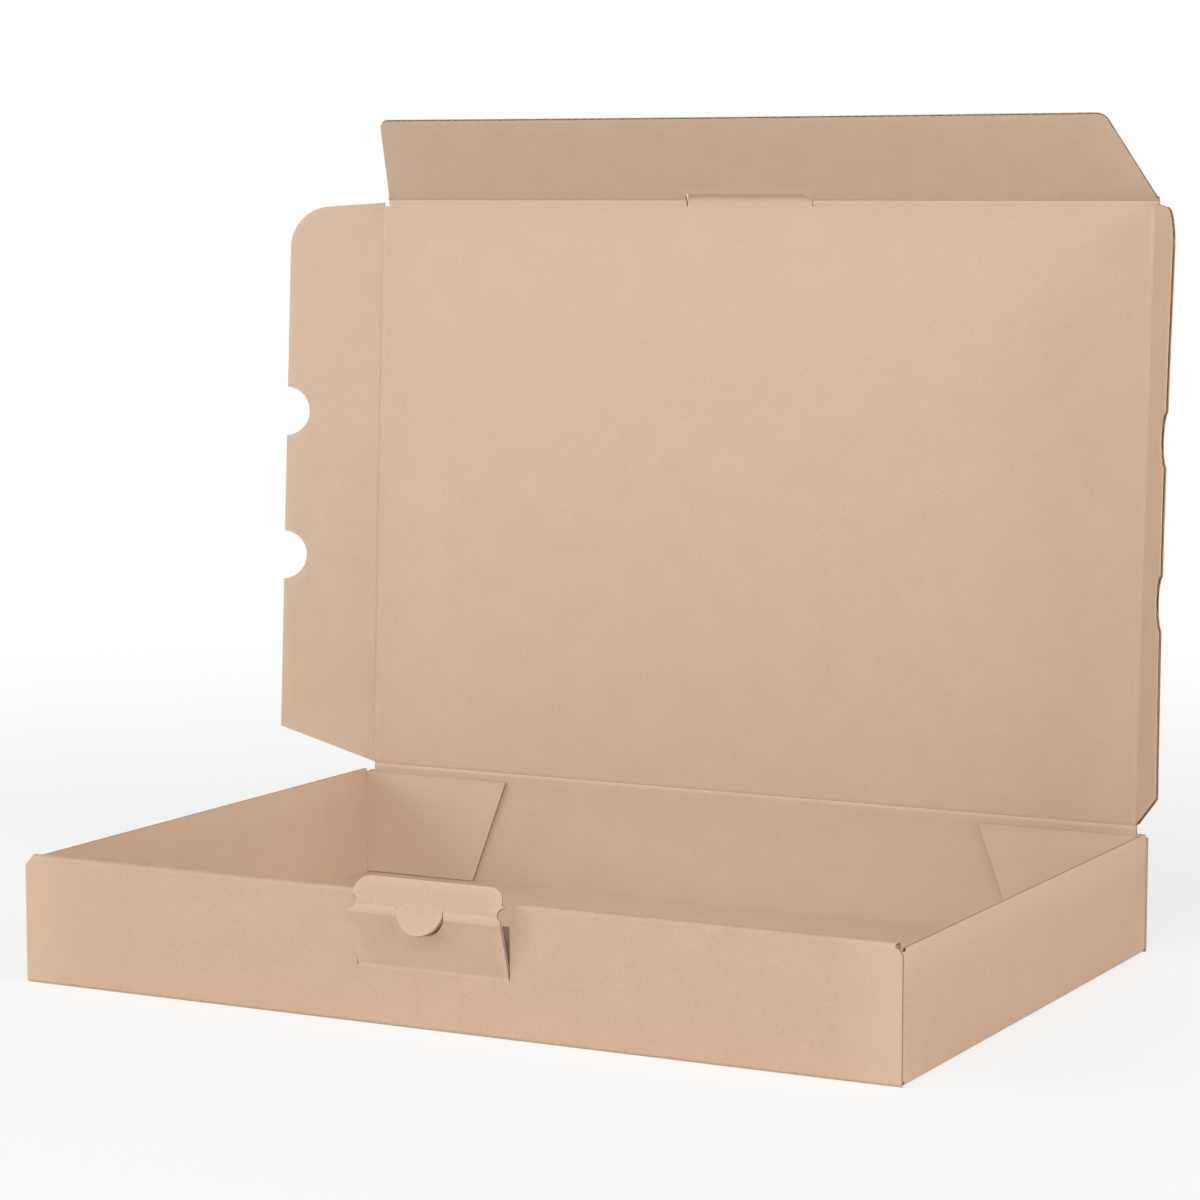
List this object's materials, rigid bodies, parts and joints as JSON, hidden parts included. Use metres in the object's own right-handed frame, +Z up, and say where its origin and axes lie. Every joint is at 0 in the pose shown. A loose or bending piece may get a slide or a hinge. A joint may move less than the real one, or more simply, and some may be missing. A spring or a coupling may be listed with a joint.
{
  "type": "large letter mailer box",
  "caption": "Shallow fluted board mailer box, lid up, with side flaps, a tuck flap and a front lock with tongue and thumb tab.",
  "frame": {"origin": "centre of the base's underside", "axes": "+X along the tray's length, to the right seen from the front; -Y to the front with the lock; +Z up"},
  "size_m": [0.3954, 0.2651, 0.321],
  "materials": {
    "outside_liner": "matte",
    "inside_liner": "matte"
  },
  "bodies": {
    "tray": {"tray": "outside_liner"},
    "lid": {"lid_panel": "inside_liner"},
    "left_flap": {"left_side_flap": "inside_liner"},
    "right_flap": {"right_side_flap": "inside_liner"},
    "tuck": {"tuck_flap": "outside_liner"},
    "lock": {"lock_panel": "outside_liner"},
    "tongue": {"lock_tongue": "outside_liner"}
  },
  "joints": [
    {"name": "lid_hinge", "type": "hinge", "parent": "tray", "child": "lid", "pos_m": [0, 0.1215, 0.0478], "axis": [1, 0, 0], "range_deg": [-87, 35]},
    {"name": "left_flap_fold", "type": "hinge", "parent": "lid", "child": "left_flap", "pos_m": [-0.1705, 0.1215, 0.0478], "axis": [0, 0.0454, 0.999], "range_deg": [-34, 56]},
    {"name": "right_flap_fold", "type": "hinge", "parent": "lid", "child": "right_flap", "pos_m": [0.1705, 0.1215, 0.0478], "axis": [0, -0.0454, -0.999], "range_deg": [-61, 29]},
    {"name": "tuck_flap_fold", "type": "hinge", "parent": "lid", "child": "tuck", "pos_m": [0.002, 0.13239, 0.2875], "axis": [1, 0, 0], "range_deg": [-44, 46]},
    {"name": "lock_panel_fold", "type": "hinge", "parent": "tray", "child": "lock", "pos_m": [-0.0015, -0.1215, 0.0215], "axis": [1, 0, 0], "range_deg": [-18, 72]},
    {"name": "lock_tongue_fold", "type": "hinge", "parent": "lock", "child": "tongue", "pos_m": [-0.0015, -0.12838, 0.04266], "axis": [1, 0, 0], "range_deg": [-52, 38]}
  ]
}
